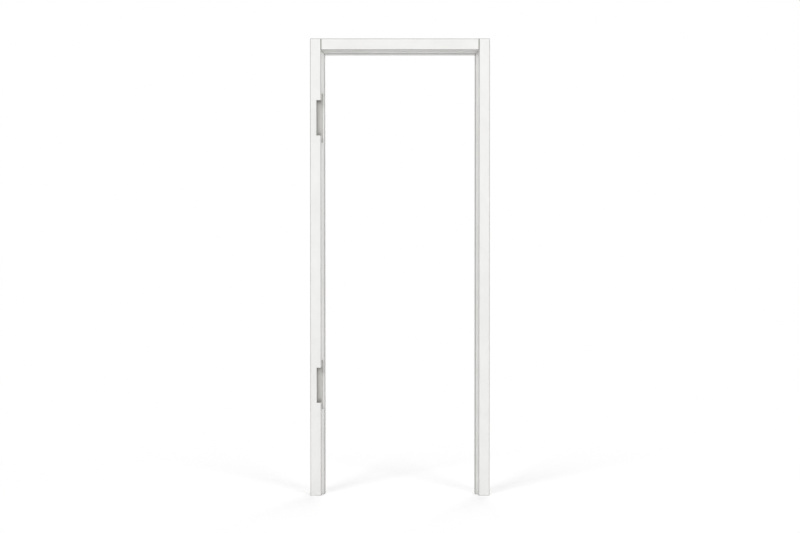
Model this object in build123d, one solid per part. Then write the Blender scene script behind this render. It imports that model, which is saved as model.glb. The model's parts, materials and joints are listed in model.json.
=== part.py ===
from build123d import *
import os

# Timber door frame: two jambs that run full height, a head tongued in between them and planted stops.
# The frame origin is at floor level on the wall side of the hinge jamb, halfway through the wall.
# +X runs from the hinge jamb to the lock jamb, +Y from the door side to the far side, +Z up.

# Overall size
frame_width = 830
frame_height = 2115
frame_depth = 138

# Jambs and head
jamb_thickness = 50
head_thickness = 52
arris_radius = 3

# Planted stops: the rebate is what the stops leave free for the door leaf
rebate_depth = 44
stop_thickness = 16
stop_arris_radius = 4
mitre_clearance = 0.4

# Hinge preparation: a pocket milled into the jamb, and a longer plate slot beside it in the stop
hinge_pocket_height = 163
hinge_pocket_width = 21.5
hinge_pocket_corner = 6
hinge_plate_height = 226
hinge_plate_width = 8
hinge_plate_depth = 8
lower_hinge_level = 512
upper_hinge_level = 1750

# Corner joint: a hidden tongue on each end of the head, in a stopped housing in the jamb
tongue_length = 12
tongue_thickness = 20
tongue_setback = 20
housing_clearance = 0.2

# Assembly screws, driven from the wall side through the jamb into the head
screw_hole_radius = 2.6
screw_head_radius = 5.2
pilot_hole_radius = 1.8
pilot_hole_depth = 45
screw_edge_distance = 32

# Places that follow from the sizes above
front = -frame_depth / 2
back = frame_depth / 2
stop_front = front + rebate_depth
plate_slot_back = stop_front + hinge_plate_depth
hinge_face = jamb_thickness
lock_face = frame_width - jamb_thickness
head_underside = frame_height - head_thickness
head_middle = frame_height - head_thickness / 2
hinge_levels = (lower_hinge_level, upper_hinge_level)
screw_rows = (front + screw_edge_distance, 0, back - screw_edge_distance)


def block(x_range, y_range, z_range):
    """A box between two values along each axis."""
    low = Vector(x_range[0], y_range[0], z_range[0])
    size = Vector(x_range[1], y_range[1], z_range[1]) - low
    corner = (Align.MIN, Align.MIN, Align.MIN)
    return Pos(low) * Box(size.X, size.Y, size.Z, align=corner)


def is_at(edge, place):
    """Whether the middle of an edge lies at the named coordinates."""
    return all(abs(getattr(edge.center(), name) - value) < 0.01 for name, value in place.items())


def edges_at(solid, axis, **place):
    """The straight edges along one axis that lie at the named coordinates."""
    return solid.edges().filter_by(axis).filter_by(lambda edge: is_at(edge, place))


def mirrored(shape):
    """A shape from the hinge side, turned over to the same place on the lock side."""
    return mirror(shape, about=Plane.YZ.offset(frame_width / 2))


def drilling(x_start, row):
    """A plane to drill from, at one screw row of the head, that faces along +X into the frame."""
    return Plane(origin=(x_start, row, head_middle), x_dir=(0, 1, 0), z_dir=(1, 0, 0))


def tongue(clearance=0):
    """Both tongues of the head as one bar through it, or both housings with a clearance."""
    reach = tongue_length + clearance
    half = tongue_thickness / 2 + clearance
    return block(
        (hinge_face - reach, lock_face + reach),
        (front + tongue_setback - clearance, back - tongue_setback + clearance),
        (head_middle - half, head_middle + half),
    )


def countersunk_hole(row):
    """The clearance hole for one assembly screw in the hinge jamb, countersunk on the wall side."""
    on_plane = (Align.CENTER, Align.CENTER, Align.MIN)
    hole = Cylinder(screw_hole_radius, jamb_thickness, align=on_plane)
    sink_depth = screw_head_radius - screw_hole_radius
    sink = Cone(screw_head_radius, screw_hole_radius, sink_depth, align=on_plane)
    return drilling(0, row) * (hole + sink)


def pilot_hole(row):
    """The pilot hole for one assembly screw, from the end of the tongue into the head."""
    on_plane = (Align.CENTER, Align.CENTER, Align.MIN)
    hole = Cylinder(pilot_hole_radius, pilot_hole_depth, align=on_plane)
    return drilling(hinge_face - tongue_length, row) * hole


def plain_jamb():
    """A jamb on the hinge side, eased along its edges, housed and drilled for the head."""
    board = block((0, jamb_thickness), (front, back), (0, frame_height))
    jamb = fillet(board.edges().filter_by(Axis.Z), arris_radius)
    jamb -= tongue(housing_clearance)
    for row in screw_rows:
        jamb -= countersunk_hole(row)
    return jamb


def hinge_pocket(level):
    """The pocket at one hinge: open to the door side and to the rebate, with milled corners behind."""
    half = hinge_pocket_height / 2
    pocket = block(
        (hinge_face - hinge_pocket_width, hinge_face + hinge_plate_width),
        (front - arris_radius, plate_slot_back),
        (level - half, level + half),
    )
    rear = edges_at(pocket, Axis.X, Y=plate_slot_back)
    return fillet(rear, hinge_pocket_corner)


def hinge_plate_slot(level):
    """The slot for one hinge plate: cut into the stop beside the jamb, with milled corners."""
    half = hinge_plate_height / 2
    slot = block(
        (hinge_face - hinge_plate_width, hinge_face + hinge_plate_width),
        (stop_front - stop_arris_radius, plate_slot_back),
        (level - half, level + half),
    )
    ends = edges_at(slot, Axis.Y, X=hinge_face + hinge_plate_width)
    return fillet(ends, hinge_plate_width / 2)


def hinge_jamb():
    """The jamb that carries the door, with a pocket milled at each hinge."""
    jamb = plain_jamb()
    for level in hinge_levels:
        jamb -= hinge_pocket(level)
    return jamb


def lock_jamb():
    """The plain jamb on the lock side."""
    return mirrored(plain_jamb())


def head():
    """The head between the jambs, eased along its edges and upright ends, with a drilled tongue on each end."""
    board = block((hinge_face, lock_face), (front, back), (head_underside, frame_height))
    eased = board.edges().filter_by(Axis.X) + board.edges().filter_by(Axis.Z)
    board = fillet(eased, arris_radius) + tongue()
    for row in screw_rows:
        hole = pilot_hole(row)
        board -= hole
        board -= mirrored(hole)
    return board


def stop_board(*corners):
    """A length of stop with the given corners in front view, as deep as the rebate leaves it."""
    face = Plane.XZ.offset(-back) * make_face(Polyline(*corners, close=True))
    return extrude(face, back - stop_front)


def plain_side_stop():
    """The stop on the hinge jamb without its slots, from the floor to its mitre with the head stop."""
    inner = hinge_face + stop_thickness
    mitre_top = head_underside - mitre_clearance
    stop = stop_board(
        (hinge_face, 0),
        (inner, 0),
        (inner, mitre_top - stop_thickness),
        (hinge_face, mitre_top),
    )
    return fillet(edges_at(stop, Axis.Z, X=inner), stop_arris_radius)


def hinge_side_stop():
    """The stop on the hinge jamb, slotted for the hinge plates."""
    stop = plain_side_stop()
    for level in hinge_levels:
        stop -= hinge_plate_slot(level)
    return stop


def lock_side_stop():
    """The plain stop on the lock jamb."""
    return mirrored(plain_side_stop())


def head_stop():
    """The stop under the head, mitred at both ends to meet the side stops."""
    underside = head_underside - stop_thickness
    stop = stop_board(
        (hinge_face, head_underside),
        (lock_face, head_underside),
        (lock_face - stop_thickness, underside),
        (hinge_face + stop_thickness, underside),
    )
    return fillet(edges_at(stop, Axis.X, Z=underside), stop_arris_radius)


pieces = {
    "hinge_jamb": hinge_jamb,
    "lock_jamb": lock_jamb,
    "head": head,
    "hinge_side_stop": hinge_side_stop,
    "lock_side_stop": lock_side_stop,
    "head_stop": head_stop,
}

os.makedirs("parts", exist_ok=True)
for name, make in pieces.items():
    export_step(make(), f"parts/{name}.step")
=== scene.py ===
import json
import math

import bmesh
import bpy
from mathutils import Matrix, Vector


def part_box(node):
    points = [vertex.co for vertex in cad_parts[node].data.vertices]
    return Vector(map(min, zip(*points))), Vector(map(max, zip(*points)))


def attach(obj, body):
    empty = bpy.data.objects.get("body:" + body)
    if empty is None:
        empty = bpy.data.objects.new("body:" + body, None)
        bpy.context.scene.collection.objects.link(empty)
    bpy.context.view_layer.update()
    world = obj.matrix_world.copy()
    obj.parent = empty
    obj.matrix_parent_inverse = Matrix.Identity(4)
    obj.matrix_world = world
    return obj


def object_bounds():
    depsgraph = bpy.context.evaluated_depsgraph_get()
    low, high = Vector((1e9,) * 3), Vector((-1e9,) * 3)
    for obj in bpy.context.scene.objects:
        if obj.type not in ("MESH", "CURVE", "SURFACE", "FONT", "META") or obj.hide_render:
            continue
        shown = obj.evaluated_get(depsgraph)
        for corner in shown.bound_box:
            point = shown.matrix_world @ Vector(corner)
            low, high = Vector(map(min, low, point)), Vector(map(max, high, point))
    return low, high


# Loads the frame and keeps its box
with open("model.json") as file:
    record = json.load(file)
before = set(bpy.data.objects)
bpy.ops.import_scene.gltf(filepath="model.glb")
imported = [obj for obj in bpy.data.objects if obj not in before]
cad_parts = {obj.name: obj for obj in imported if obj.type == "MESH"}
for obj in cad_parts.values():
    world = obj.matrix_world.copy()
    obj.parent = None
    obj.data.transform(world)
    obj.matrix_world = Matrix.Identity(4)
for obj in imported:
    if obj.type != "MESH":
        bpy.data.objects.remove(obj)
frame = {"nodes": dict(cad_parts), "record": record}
cad_low, cad_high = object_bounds()
slots = {slot["slot"]: slot for slot in frame["record"]["materials"]}
openings = {opening["name"]: opening["box_m"] for opening in frame["record"]["physics"]["openings"]}

# Where the photograph shows the door frame, in its own pixels
IMAGE_WIDTH = 800
IMAGE_HEIGHT = 533
FRAME_TOP_PIXEL = 38.5
FRAME_BOTTOM_PIXEL = 495.5
EYE_LEVEL_PIXEL = 215.0

# Camera: distances in metres, sensor in millimetres
CAMERA_DISTANCE = 9.4
CAMERA_REACH = 100
SENSOR_WIDTH = 36.0

# Assembly screws, in metres: the profile gives radius and depth from the neck under the head to the tip
SCREW_EDGE_DISTANCE = 0.032
SCREW_HEAD_RADIUS = 0.0048
SCREW_PROFILE = ((0.0021, 0.0027), (0.0021, 0.036), (0.0016, 0.037), (0.0016, 0.076), (0.0002, 0.08))
SCREW_SIDES = 40
SCREW_SUNK = 0.0003

# Cross recess in a screw's head, in metres, and how much of its size is left at its floor
RECESS_REACH = 0.0025
RECESS_HALF_WIDTH = 0.0005
RECESS_DEPTH = 0.0018
RECESS_TAPER = 0.55

# How far the milled faces lie outside the clear openings, in metres along each axis
POCKET_MARGIN = Vector((0.0012, 0.008, 0.007))
PLATE_SLOT_MARGIN = Vector((0.0004, 0.002, 0.007))

# How far the painted shade in the rear corners of a pocket reaches from its inner wall, its rear and its
# ends, in metres
CORNER_SHADE_REACH = Vector((0.009, 0.035, 0.022))

# Widths of the painted effects, in metres: thin paint on wall-side faces, painted shade along the joints, and
# rubbed paint with painted edge shade round the sawn ends
WALL_SIDE_SKIN = Vector((0.0003, 0.0, 0.0003))
JOINT_HALF_WIDTH = 0.0015
MITRE_HALF_WIDTH = 0.0006
MITRE_START = 0.0002
CUT_EDGE_WIDTH = 0.002

# How far a face turns from square, from 0, where an arris starts and where it counts in full
ARRIS_START = 0.005
ARRIS_FULL = 0.06

# How squarely a face looks along an axis, from 0 to 1, to count as cut across it
CUT_ACROSS = 0.9

# The growth rings on the jambs run round a heart this far outside their wall faces, in metres
HEART_BEYOND_WALL_FACE = 0.045

# How densely the patterns repeat, in repeats a metre
GRAIN_ACROSS = 260.0
GRAIN_ALONG = 5.0
ORANGE_PEEL = 420.0
PAINT_CLOUDS = 9.0
CUTTER_STEPS = 125.0
GROWTH_RINGS = 75.0
TURNING_MARKS = 2400.0

# The part of each pattern's range that is spread over a tone or a roughness
CLOUD_RANGE = (0.35, 0.65)
GRAIN_RANGE = (0.35, 0.7)
PEEL_RANGE = (0.3, 0.7)

# Tones of paint and steel, as shares of the record's red, green and blue
LIGHT_PAINT = (1.02, 1.02, 1.02)
DULL_PAINT = (0.965, 0.963, 0.955)
# Thin paint, which in the milled pockets and slots is also painted shade
THIN_AND_SHADED_PAINT = (0.8, 0.795, 0.78)
# The rubbed tone is also painted shade, on the arrises, the sawn edges and the rear corners of the pockets
RUBBED_AND_SHADED_PAINT = (0.45, 0.44, 0.425)
# Painted shade along the joints of the head with the jambs and the mitres of the stops
JOINT_SHADE_TONE = (0.18, 0.17, 0.16)
BRIGHT_STEEL = (1, 1, 1)
WORN_STEEL = (0.7, 0.68, 0.62)

# How much clouds and grain dull the paint, and how thin it is on wall-side faces, each from 0 to 1
CLOUD_SHARE = 0.65
GRAIN_SHARE = 0.3
WALL_SIDE_SHARE = 0.5

# Roughness, from 0 to 1, and what thin paint adds to it
PAINT_ROUGHNESS = (0.56, 0.68)
THIN_PAINT_ROUGHER = 0.12
STEEL_ROUGHNESS = (0.28, 0.45)

# Relief in the paint: the shares of grain and orange peel, the strength, and the depth in metres
GRAIN_RELIEF = 0.6
PEEL_RELIEF = 0.4
RELIEF_STRENGTH = 0.35
RELIEF_DEPTH = 0.0002

# Light: the even light of the room, the floor and the two front lamps make up about 1 on the front faces
AMBIENT = 0.45
LAMP_DISTANCE = 18.0

# Each lamp's degrees turned from straight in front, degrees raised, width in metres and share of light
LAMPS = {
    "key_light": (-24, 30, 5.0, 0.27),
    "fill_light": (24, 18, 5.0, 0.25),
    "back_light": (172, 20, 8.0, 0.4),
}

# Floor: its colour, how much it is lifted towards the backdrop, and where it fades into it, in metres
FLOOR_COLOUR = (0.86, 0.86, 0.86, 1)
FLOOR_LIFT = 0.31
FLOOR_FADE = (0.9, 2.4)
FLOOR_HALF_WIDTH = 40

# Places that follow from the frame
middle = (cad_low + cad_high) / 2
head_low, head_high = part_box("head")
jamb_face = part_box("hinge_side_stop")[0].x

# Defaults for a place and a size that go into a node group
ORIGIN = (0, 0, 0)
UNIT = (1, 1, 1)


def feed(tree, value, socket):
    """Joins another node's socket to this one, or sets this one to a plain value."""
    if isinstance(value, bpy.types.NodeSocket):
        tree.links.new(value, socket)
    else:
        socket.default_value = value


def feed_all(tree, node, **values):
    """Feeds a node's inputs, each named by its label with _ for a space."""
    for label, value in values.items():
        feed(tree, value, node.inputs[label.replace("_", " ")])


def math_node(tree, operation, first, second=None):
    """The result of a Math node on one or two values, each a socket or a number."""
    node = tree.nodes.new("ShaderNodeMath")
    node.operation = operation
    feed(tree, first, node.inputs[0])
    if second is not None:
        feed(tree, second, node.inputs[1])
    return node.outputs["Value"]


def vector_node(tree, operation, first, second=None):
    """The result of a Vector Math node on one or two vectors."""
    node = tree.nodes.new("ShaderNodeVectorMath")
    node.operation = operation
    feed(tree, first, node.inputs[0])
    if second is not None:
        feed(tree, second, node.inputs[1])
    return node.outputs["Vector"]


def parts_of(tree, vector):
    """The X, Y and Z parts of a vector, in order and by name."""
    node = tree.nodes.new("ShaderNodeSeparateXYZ")
    feed(tree, vector, node.inputs["Vector"])
    return node.outputs


def largest_part(tree, vector):
    """The largest of a vector's three parts."""
    x, y, z = parts_of(tree, vector)
    return math_node(tree, "MAXIMUM", math_node(tree, "MAXIMUM", x, y), z)


def both(tree, first, second):
    """A mask where two masks meet."""
    return math_node(tree, "MULTIPLY", first, second)


def either(tree, first, second):
    """The stronger of two masks."""
    return math_node(tree, "MAXIMUM", first, second)


def outside(tree, mask):
    """1 where a mask is 0, and 0 where it is 1."""
    return math_node(tree, "SUBTRACT", 1.0, mask)


def ramp(tree, value, from_range, to_range=(0.0, 1.0)):
    """A value mapped from one range to another and held at the ends."""
    node = tree.nodes.new("ShaderNodeMapRange")
    (low, high), (to_low, to_high) = from_range, to_range
    feed_all(tree, node, Value=value, From_Min=low, From_Max=high, To_Min=to_low, To_Max=to_high)
    return node.outputs["Result"]


def colour_mix(tree, amount, first, second):
    """One colour blended into another by an amount. A Mix node has colours at inputs 6 and 7 and output 2."""
    node = tree.nodes.new("ShaderNodeMix")
    node.data_type = "RGBA"
    feed(tree, amount, node.inputs[0])
    feed(tree, first, node.inputs[6])
    feed(tree, second, node.inputs[7])
    return node.outputs[2]


def new_group(name, inputs, result):
    """An empty node group with named inputs and their defaults, and one varying number as its result."""
    group = bpy.data.node_groups.new(name, "ShaderNodeTree")
    for label, default in inputs.items():
        kind = "NodeSocketFloat" if isinstance(default, float) else "NodeSocketVector"
        socket = group.interface.new_socket(label, in_out="INPUT", socket_type=kind)
        socket.default_value = default
    group.interface.new_socket(result, in_out="OUTPUT", socket_type="NodeSocketFloat")
    inside = group.nodes.new("NodeGroupInput")
    out = group.nodes.new("NodeGroupOutput")
    return group, inside.outputs, out.inputs


def use_group(tree, group, **values):
    """Places a node group in a tree with its inputs fed, and gives its result."""
    node = tree.nodes.new("ShaderNodeGroup")
    node.node_tree = group
    feed_all(tree, node, **values)
    return node.outputs[0]


def timber_grain_group():
    """Fine timber grain that shows through paint: long streaks along one axis, as a height from 0 to 1."""
    group, inside, out = new_group("timber_grain", {"Position": ORIGIN, "Stretch": UNIT}, "Height")
    stretched = vector_node(group, "MULTIPLY", inside["Position"], inside["Stretch"])
    streaks = group.nodes.new("ShaderNodeTexNoise")
    feed_all(group, streaks, Vector=stretched, Scale=1, Detail=5, Roughness=0.62, Distortion=0.4)
    feed(group, streaks.outputs["Fac"], out["Height"])
    return group


def soft_noise_group():
    """Soft random unevenness: orange peel, clouds or turning marks, by scale, as a height from 0 to 1."""
    group, inside, out = new_group("soft_noise", {"Position": ORIGIN, "Scale": ORANGE_PEEL}, "Height")
    noise = group.nodes.new("ShaderNodeTexNoise")
    feed_all(group, noise, Vector=inside["Position"], Scale=inside["Scale"], Detail=2, Roughness=0.45)
    feed(group, noise.outputs["Fac"], out["Height"])
    return group


def cutter_marks_group():
    """The close even marks that a milling cutter leaves across a pocket, as a height from 0 to 1."""
    group, inside, out = new_group("cutter_marks", {"Position": ORIGIN, "Scale": CUTTER_STEPS}, "Height")
    marks = group.nodes.new("ShaderNodeTexWave")
    marks.wave_type = "BANDS"
    marks.bands_direction = "Z"
    feed_all(group, marks, Vector=inside["Position"], Scale=inside["Scale"], Distortion=1.2, Detail=1)
    feed(group, marks.outputs["Fac"], out["Height"])
    return group


def growth_rings_group():
    """The growth rings on a face cut across the grain, round an upright line, as a height from 0 to 1."""
    group, inside, out = new_group("growth_rings", {"Position": ORIGIN, "Scale": GROWTH_RINGS}, "Height")
    rings = group.nodes.new("ShaderNodeTexWave")
    rings.wave_type = "RINGS"
    rings.rings_direction = "Z"
    rings.wave_profile = "SAW"
    feed_all(group, rings, Vector=inside["Position"], Scale=inside["Scale"])
    feed_all(group, rings, Distortion=3, Detail=2, Detail_Scale=0.3)
    feed(group, rings.outputs["Fac"], out["Height"])
    return group


def box_mask_group():
    """1 inside a box given by its middle and half size, and 0 outside it."""
    inputs = {"Position": ORIGIN, "Middle": ORIGIN, "Half Size": UNIT}
    group, inside, out = new_group("box_mask", inputs, "Mask")
    offset = vector_node(group, "SUBTRACT", inside["Position"], inside["Middle"])
    distance = vector_node(group, "ABSOLUTE", offset)
    past = largest_part(group, vector_node(group, "SUBTRACT", distance, inside["Half Size"]))
    feed(group, math_node(group, "LESS_THAN", past, 0.0), out["Mask"])
    return group


def painted_corner_shade_group():
    """Painted shade: 1 in the rear corners of a pocket, along its inner wall and its two ends, and 0 a reach
    away.
    """
    inputs = {"Position": ORIGIN, "Middle": ORIGIN, "Half Size": UNIT, "Reach": UNIT}
    group, inside, out = new_group("painted_corner_shade", inputs, "Mask")
    x, y, z = parts_of(group, vector_node(group, "SUBTRACT", inside["Position"], inside["Middle"]))
    half_width, half_depth, half_height = parts_of(group, inside["Half Size"])
    wall_reach, rear_reach, end_reach = parts_of(group, inside["Reach"])
    from_wall = math_node(group, "ADD", half_width, x)
    from_rear = math_node(group, "SUBTRACT", half_depth, y)
    from_end = math_node(group, "SUBTRACT", half_height, math_node(group, "ABSOLUTE", z))
    near_wall = ramp(group, from_wall, (0.0, wall_reach), (1.0, 0.0))
    near_rear = ramp(group, from_rear, (0.0, rear_reach), (1.0, 0.0))
    near_end = ramp(group, from_end, (0.0, end_reach), (1.0, 0.0))
    feed(group, both(group, near_rear, either(group, near_wall, near_end)), out["Mask"])
    return group


def arris_mask_group():
    """1 where a face turns away from all three axes, as on a rounded arris, and 0 on square faces."""
    inputs = {"Normal": ORIGIN, "Start": ARRIS_START, "Full": ARRIS_FULL}
    group, inside, out = new_group("arris_mask", inputs, "Mask")
    squarest = largest_part(group, vector_node(group, "ABSOLUTE", inside["Normal"]))
    turned = math_node(group, "SUBTRACT", 1.0, squarest)
    feed(group, ramp(group, turned, (inside["Start"], inside["Full"])), out["Mask"])
    return group


timber_grain = timber_grain_group()
soft_noise = soft_noise_group()
cutter_marks = cutter_marks_group()
growth_rings = growth_rings_group()
box_mask = box_mask_group()
painted_corner_shade = painted_corner_shade_group()
arris_mask = arris_mask_group()


def new_material(name):
    """An empty node material with its Principled shader, and the coordinates to place patterns by."""
    material = bpy.data.materials.new(name)
    material.use_nodes = True
    tree = material.node_tree
    shader = tree.nodes["Principled BSDF"]
    coordinates = tree.nodes.new("ShaderNodeTexCoord").outputs
    return material, tree, shader, coordinates


def tone(slot, shares):
    """A finish's colour from the record, with a share of its red, green and blue."""
    colour = slots[slot]["base_color"]
    return (*(value * share for value, share in zip(colour, shares)), 1)


def in_box(tree, place, low, high, margin):
    """1 inside the box between two corners, widened by a margin along each axis, and 0 outside it."""
    low, high = Vector(low), Vector(high)
    half = (high - low) / 2 + margin
    return use_group(tree, box_mask, Position=place, Middle=(low + high) / 2, Half_Size=half)


def milled_mask(tree, place):
    """1 on the faces of the hinge pockets and plate slots."""
    mask = 0.0
    for kind, margin in (("hinge_pocket", POCKET_MARGIN), ("plate_slot", PLATE_SLOT_MARGIN)):
        for hinge in ("upper", "lower"):
            low, high = openings[f"{hinge}_{kind}"]
            mask = either(tree, in_box(tree, place, low, high, margin), mask)
    return mask


def painted_corner_shade_mask(tree, place):
    """Painted shade in the rear corners of the hinge pockets: 1 in the corners and 0 a reach away."""
    mask = 0.0
    for hinge in ("upper", "lower"):
        low, high = (Vector(corner) for corner in openings[f"{hinge}_hinge_pocket"])
        half = (high - low) / 2 + POCKET_MARGIN
        pocket = {"Position": place, "Middle": (low + high) / 2, "Half_Size": half}
        corner = use_group(tree, painted_corner_shade, Reach=CORNER_SHADE_REACH, **pocket)
        mask = either(tree, both(tree, corner, use_group(tree, box_mask, **pocket)), mask)
    return mask


def wall_side_mask(tree, place):
    """1 on the faces that turn to the wall and the lintel, and 0 on the faces that stay in sight."""
    past_faces_in_sight = Vector((0, 1, 0))
    past_feet = Vector((0, 0, 1))
    low = cad_low - past_faces_in_sight - past_feet
    high = cad_high + past_faces_in_sight
    return outside(tree, in_box(tree, place, low, high, -WALL_SIDE_SKIN))


def off_middle(tree, place, axis):
    """How far a place is from the frame's middle along one axis, on either side."""
    centre = middle["XYZ".index(axis)]
    return math_node(tree, "ABSOLUTE", math_node(tree, "SUBTRACT", parts_of(tree, place)[axis], centre))


def cut_across(tree, normal, axis):
    """1 on the faces that are cut square across one axis, and 0 on the others."""
    facing = math_node(tree, "ABSOLUTE", parts_of(tree, normal)[axis])
    return math_node(tree, "GREATER_THAN", facing, CUT_ACROSS)


def end_grain(tree, place, normal, along):
    """Growth rings on the faces cut across the grain, and 0 on the others."""
    heart = middle.x - cad_low.x + HEART_BEYOND_WALL_FACE
    from_heart = tree.nodes.new("ShaderNodeCombineXYZ")
    inwards = math_node(tree, "SUBTRACT", off_middle(tree, place, "X"), heart)
    feed_all(tree, from_heart, X=inwards, Y=parts_of(tree, place)["Y"])
    rings = use_group(tree, growth_rings, Position=from_heart.outputs["Vector"], Scale=GROWTH_RINGS)
    return both(tree, cut_across(tree, normal, along), rings)


def cut_edge_mask(tree, place, normal):
    """1 along the sharp edges round the sawn ends, at the top and the foot of the frame, where a rubbed line
    also serves as painted edge shade.
    """
    edge = middle.z - cad_low.z - CUT_EDGE_WIDTH
    by_end = math_node(tree, "GREATER_THAN", off_middle(tree, place, "Z"), edge)
    return both(tree, by_end, outside(tree, cut_across(tree, normal, "Z")))


def joint_mask(tree, place):
    """Painted shade: 1 along the joints of the head with the jambs and along the mitres of the stops."""
    from_jamb = math_node(tree, "SUBTRACT", middle.x - jamb_face, off_middle(tree, place, "X"))
    below_head = math_node(tree, "SUBTRACT", head_low.z, parts_of(tree, place)["Z"])
    by_jamb = math_node(tree, "LESS_THAN", math_node(tree, "ABSOLUTE", from_jamb), JOINT_HALF_WIDTH)
    head_joint = both(tree, by_jamb, math_node(tree, "LESS_THAN", below_head, 0.0))
    off_mitre = math_node(tree, "ABSOLUTE", math_node(tree, "SUBTRACT", from_jamb, below_head))
    by_mitre = math_node(tree, "LESS_THAN", off_mitre, MITRE_HALF_WIDTH * math.sqrt(2))
    in_doorway = math_node(tree, "MINIMUM", from_jamb, below_head)
    mitre = both(tree, by_mitre, math_node(tree, "GREATER_THAN", in_doorway, MITRE_START))
    return either(tree, head_joint, mitre)


def paint_colour(tree, place, normal, grain, thin_paint_and_shade):
    """White with faint clouds and grain, thin paint that is also painted shade in the pockets, painted shade
    in the pockets' rear corners, rubbed arrises and sawn edges that are also painted edge shade, and painted
    shade along the joints.
    """
    light, dull, thinner_and_shaded, rubbed_and_shaded, joint_shade = (
        tone("white_painted_timber", shares)
        for shares in (LIGHT_PAINT, DULL_PAINT, THIN_AND_SHADED_PAINT, RUBBED_AND_SHADED_PAINT, JOINT_SHADE_TONE)
    )
    clouds = ramp(tree, use_group(tree, soft_noise, Position=place, Scale=PAINT_CLOUDS), CLOUD_RANGE)
    clouds = math_node(tree, "MULTIPLY", clouds, CLOUD_SHARE)
    streaks = math_node(tree, "MULTIPLY", ramp(tree, grain, GRAIN_RANGE), GRAIN_SHARE)
    arris = use_group(tree, arris_mask, Normal=normal, Start=ARRIS_START, Full=ARRIS_FULL)
    colour = colour_mix(tree, math_node(tree, "ADD", clouds, streaks), light, dull)
    # Thin paint on wall-side faces and end grain, and on the milled pockets and slots, where it is also
    # painted shade
    colour = colour_mix(tree, thin_paint_and_shade, colour, thinner_and_shaded)
    # Painted shade: the rubbed tone darkens the rear corners of the hinge pockets
    colour = colour_mix(tree, painted_corner_shade_mask(tree, place), colour, rubbed_and_shaded)
    # Rubbed paint on the arrises and along the sharp edges of the sawn ends, darkened further as painted edge
    # shade
    colour = colour_mix(tree, either(tree, arris, cut_edge_mask(tree, place, normal)), colour, rubbed_and_shaded)
    # Painted shade: a dark line along the head's joints with the jambs and along the stops' mitres
    return colour_mix(tree, joint_mask(tree, place), colour, joint_shade)


def paint_relief(tree, grain, peel, *extra_heights):
    """The normal of paint with grain and orange peel in relief, and whatever else stands out of it."""
    grain_height = math_node(tree, "MULTIPLY", grain, GRAIN_RELIEF)
    height = math_node(tree, "ADD", grain_height, math_node(tree, "MULTIPLY", peel, PEEL_RELIEF))
    for extra in extra_heights:
        height = math_node(tree, "ADD", height, extra)
    bump = tree.nodes.new("ShaderNodeBump")
    feed_all(tree, bump, Strength=RELIEF_STRENGTH, Distance=RELIEF_DEPTH, Height=height)
    return bump.outputs["Normal"]


def painted_timber(name, along):
    """Matt white paint sprayed on timber whose grain runs along one axis."""
    material, tree, shader, coordinates = new_material(name)
    place, normal = coordinates["Object"], coordinates["Normal"]
    stretch = tuple(GRAIN_ALONG if axis == along else GRAIN_ACROSS for axis in "XYZ")
    grain = use_group(tree, timber_grain, Position=place, Stretch=stretch)
    peel = use_group(tree, soft_noise, Position=place, Scale=ORANGE_PEEL)
    marks = use_group(tree, cutter_marks, Position=place, Scale=CUTTER_STEPS)
    rings = end_grain(tree, place, normal, along)
    milled = milled_mask(tree, place)
    wall_side = wall_side_mask(tree, place)
    # Where the paint is thin: the milled pockets and slots, where the darker tone is also painted shade, half
    # on wall-side faces, and on end grain
    thin_paint_and_shade = either(tree, milled, math_node(tree, "MULTIPLY", wall_side, WALL_SIDE_SHARE))
    thin_paint_and_shade = either(tree, thin_paint_and_shade, rings)
    roughness = ramp(tree, peel, PEEL_RANGE, PAINT_ROUGHNESS)
    roughness = math_node(tree, "ADD", roughness, math_node(tree, "MULTIPLY", thin_paint_and_shade, THIN_PAINT_ROUGHER))
    raised_grain = both(tree, grain, wall_side)
    milled_marks = both(tree, marks, milled)
    feed_all(
        tree,
        shader,
        Base_Color=paint_colour(tree, place, normal, grain, thin_paint_and_shade),
        Roughness=roughness,
        Specular_IOR_Level=0.3,
        Normal=paint_relief(tree, grain, peel, raised_grain, milled_marks, rings),
    )
    return material


def plated_steel():
    """The plated steel of the assembly screws, with fine turning marks."""
    material, tree, shader, coordinates = new_material("plated_steel")
    marks = use_group(tree, soft_noise, Position=coordinates["Object"], Scale=TURNING_MARKS)
    bright, worn = tone("plated_steel", BRIGHT_STEEL), tone("plated_steel", WORN_STEEL)
    feed_all(
        tree,
        shader,
        Base_Color=colour_mix(tree, ramp(tree, marks, CLOUD_RANGE), bright, worn),
        Roughness=ramp(tree, marks, PEEL_RANGE, STEEL_ROUGHNESS),
        Metallic=1,
    )
    return material


def finish_node(name, material):
    """Gives a node of the frame its material."""
    for material_slot in frame["nodes"][name].material_slots:
        material_slot.material = material


def object_from(bm, name, material):
    """Makes a finished mesh into an object of the scene."""
    mesh = bpy.data.meshes.new(name)
    bm.to_mesh(mesh)
    bm.free()
    mesh.materials.append(material)
    made = bpy.data.objects.new(name, mesh)
    bpy.context.scene.collection.objects.link(made)
    return made


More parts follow.
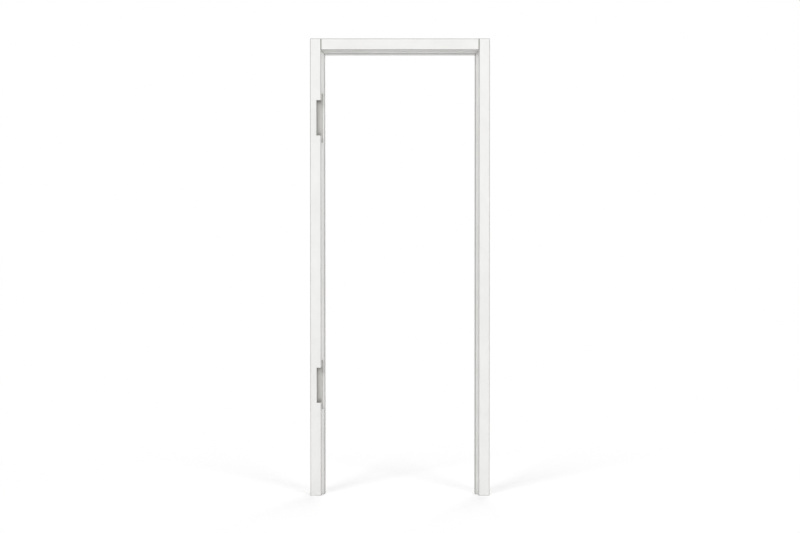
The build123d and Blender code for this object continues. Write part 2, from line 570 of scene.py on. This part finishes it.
def cut_cross_recess(bm):
    """Sinks a tapered cross into the flat face at z = 0."""
    for axis in (Vector((1, 0, 0)), Vector((0, 1, 0))):
        for offset in (-RECESS_REACH, -RECESS_HALF_WIDTH, RECESS_HALF_WIDTH, RECESS_REACH):
            everything = bm.verts[:] + bm.edges[:] + bm.faces[:]
            bmesh.ops.bisect_plane(bm, geom=everything, plane_co=axis * offset, plane_no=axis)
    cross = []
    for face in bm.faces:
        across, along = sorted(abs(value) for value in face.calc_center_median().xy)
        if across < RECESS_HALF_WIDTH and along < RECESS_REACH:
            cross.append(face)
    sunk = bmesh.ops.extrude_face_region(bm, geom=cross)
    bmesh.ops.delete(bm, geom=cross, context="FACES")
    floor = [item for item in sunk["geom"] if isinstance(item, bmesh.types.BMVert)]
    bmesh.ops.scale(bm, verts=floor, vec=(RECESS_TAPER, RECESS_TAPER, 1))
    bmesh.ops.translate(bm, verts=floor, vec=(0, 0, -RECESS_DEPTH))


def screw_mesh():
    """A countersunk wood screw with a cross recess, its face at z = 0 and its tip below."""
    bm = bmesh.new()
    bmesh.ops.create_circle(bm, cap_ends=True, segments=SCREW_SIDES, radius=SCREW_HEAD_RADIUS)
    cut_cross_recess(bm)
    last_radius, last_depth = SCREW_HEAD_RADIUS, 0.0
    for radius, depth in SCREW_PROFILE:
        rim = [edge for edge in bm.edges if edge.is_boundary]
        ring = bmesh.ops.extrude_edge_only(bm, edges=rim)
        verts = [item for item in ring["geom"] if isinstance(item, bmesh.types.BMVert)]
        spread = radius / last_radius
        bmesh.ops.scale(bm, verts=verts, vec=(spread, spread, 1))
        bmesh.ops.translate(bm, verts=verts, vec=(0, 0, last_depth - depth))
        last_radius, last_depth = radius, depth
    bmesh.ops.holes_fill(bm, edges=[edge for edge in bm.edges if edge.is_boundary])
    return bm


def screw(name, place, facing, material):
    """One assembly screw, sunk into its countersink at a place on a wall face."""
    bm = screw_mesh()
    turn = Vector((0, 0, 1)).rotation_difference(facing).to_matrix().to_4x4()
    seat = Matrix.Translation(place - facing * SCREW_SUNK) @ turn
    bmesh.ops.transform(bm, matrix=seat, verts=bm.verts)
    bmesh.ops.recalc_face_normals(bm, faces=bm.faces)
    piece = object_from(bm, name, material)
    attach(piece, "root")


def assembly_screws(material):
    """Three screws in each wall face, level with the middle of the head."""
    level = (head_low.z + head_high.z) / 2
    rows = (cad_low.y + SCREW_EDGE_DISTANCE, middle.y, cad_high.y - SCREW_EDGE_DISTANCE)
    outwards = Vector((1, 0, 0))
    for side, wall, facing in (("hinge", cad_low.x, -outwards), ("lock", cad_high.x, outwards)):
        for number, row in enumerate(rows, start=1):
            screw(f"{side}_side_screw_{number}", Vector((wall, row, level)), facing, material)


def seen_directly(tree, strength):
    """A strength for rays from the camera or through gloss or glass, and 0 for light on the frame."""
    rays = tree.nodes.new("ShaderNodeLightPath").outputs
    seen = math_node(tree, "MAXIMUM", rays["Is Camera Ray"], rays["Is Glossy Ray"])
    seen = math_node(tree, "MAXIMUM", seen, rays["Is Transmission Ray"])
    return math_node(tree, "MULTIPLY", seen, strength)


def pale_floor():
    """White floor that shows the shadow by the frame's feet and fades into the backdrop further off."""
    material, tree, shader, coordinates = new_material("pale_floor")
    feed_all(tree, shader, Base_Color=FLOOR_COLOUR, Roughness=0.9, Specular_IOR_Level=0)
    lift = tree.nodes.new("ShaderNodeEmission")
    feed(tree, seen_directly(tree, FLOOR_LIFT), lift.inputs["Strength"])
    near = tree.nodes.new("ShaderNodeAddShader")
    feed(tree, shader.outputs["BSDF"], near.inputs[0])
    feed(tree, lift.outputs["Emission"], near.inputs[1])
    away = tree.nodes.new("ShaderNodeVectorMath")
    away.operation = "DISTANCE"
    feed(tree, coordinates["Object"], away.inputs[0])
    feed(tree, (middle.x, middle.y, cad_low.z), away.inputs[1])
    far = tree.nodes.new("ShaderNodeEmission")
    blend = tree.nodes.new("ShaderNodeMixShader")
    fade = ramp(tree, away.outputs["Value"], FLOOR_FADE)
    feed(tree, seen_directly(tree, fade), blend.inputs[0])
    feed(tree, near.outputs["Shader"], blend.inputs[1])
    feed(tree, far.outputs["Emission"], blend.inputs[2])
    feed(tree, blend.outputs["Shader"], tree.nodes["Material Output"].inputs["Surface"])
    return material


def stage_floor():
    """The floor of the studio, level with the feet of the frame."""
    bm = bmesh.new()
    bmesh.ops.create_grid(bm, x_segments=1, y_segments=1, size=FLOOR_HALF_WIDTH)
    bmesh.ops.translate(bm, verts=bm.verts, vec=(middle.x, middle.y, cad_low.z))
    floor = object_from(bm, "floor", pale_floor())


def stage_world():
    """A white backdrop, and a plain even light on the frame."""
    world = bpy.data.worlds.new("studio")
    bpy.context.scene.world = world
    world.use_nodes = True
    tree = world.node_tree
    strength = math_node(tree, "ADD", seen_directly(tree, 1.0 - AMBIENT), AMBIENT)
    feed_all(tree, tree.nodes["Background"], Color=(1, 1, 1, 1), Strength=strength)


def softbox(name, turn, rise, width, share):
    """A square lamp aimed at the middle of the frame. A share of 1 alone would show colours as written."""
    level = math.cos(math.radians(rise)) * LAMP_DISTANCE
    away = Vector((
        math.sin(math.radians(turn)) * level,
        -math.cos(math.radians(turn)) * level,
        math.sin(math.radians(rise)) * LAMP_DISTANCE,
    ))
    lamp = bpy.data.lights.new(name, "AREA")
    lamp.shape = "SQUARE"
    lamp.size = width
    lamp.energy = share * (math.pi * LAMP_DISTANCE) ** 2
    box = bpy.data.objects.new(name, lamp)
    box.location = middle + away
    box.rotation_euler = away.to_track_quat("Z", "Y").to_euler()
    bpy.context.scene.collection.objects.link(box)


def photograph_camera():
    """The camera at the photograph's eye level, tilted so that the frame fills the same pixels."""
    pixels_tall = FRAME_BOTTOM_PIXEL - FRAME_TOP_PIXEL
    metres_a_pixel = (cad_high.z - cad_low.z) / pixels_tall
    eye_level = cad_low.z + (FRAME_BOTTOM_PIXEL - EYE_LEVEL_PIXEL) * metres_a_pixel
    to_top = math.atan2(cad_high.z - eye_level, CAMERA_DISTANCE)
    to_foot = math.atan2(cad_low.z - eye_level, CAMERA_DISTANCE)
    focal_pixels = pixels_tall / 2 / math.tan((to_top - to_foot) / 2)
    frame_middle_pixel = (FRAME_TOP_PIXEL + FRAME_BOTTOM_PIXEL) / 2
    tilt = (to_top + to_foot) / 2 + math.atan2(frame_middle_pixel - IMAGE_HEIGHT / 2, focal_pixels)
    data = bpy.data.cameras.new("camera")
    data.sensor_width = SENSOR_WIDTH
    data.lens = SENSOR_WIDTH * focal_pixels / IMAGE_WIDTH
    data.clip_end = CAMERA_REACH
    camera = bpy.data.objects.new("camera", data)
    camera.location = (middle.x, cad_low.y - CAMERA_DISTANCE, eye_level)
    camera.rotation_euler = (math.pi / 2 + tilt, 0, 0)
    bpy.context.scene.collection.objects.link(camera)
    bpy.context.scene.camera = camera


upright_paint = painted_timber("white_paint_on_upright_grain", "Z")
level_paint = painted_timber("white_paint_on_level_grain", "X")
for upright in ("hinge_jamb", "lock_jamb", "hinge_side_stop", "lock_side_stop"):
    finish_node(upright, upright_paint)
for level in ("head", "head_stop"):
    finish_node(level, level_paint)
assembly_screws(plated_steel())

stage_floor()
stage_world()
for name, (turn, rise, width, share) in LAMPS.items():
    softbox(name, turn, rise, width, share)
photograph_camera()
bpy.context.scene.view_settings.view_transform = "Standard"
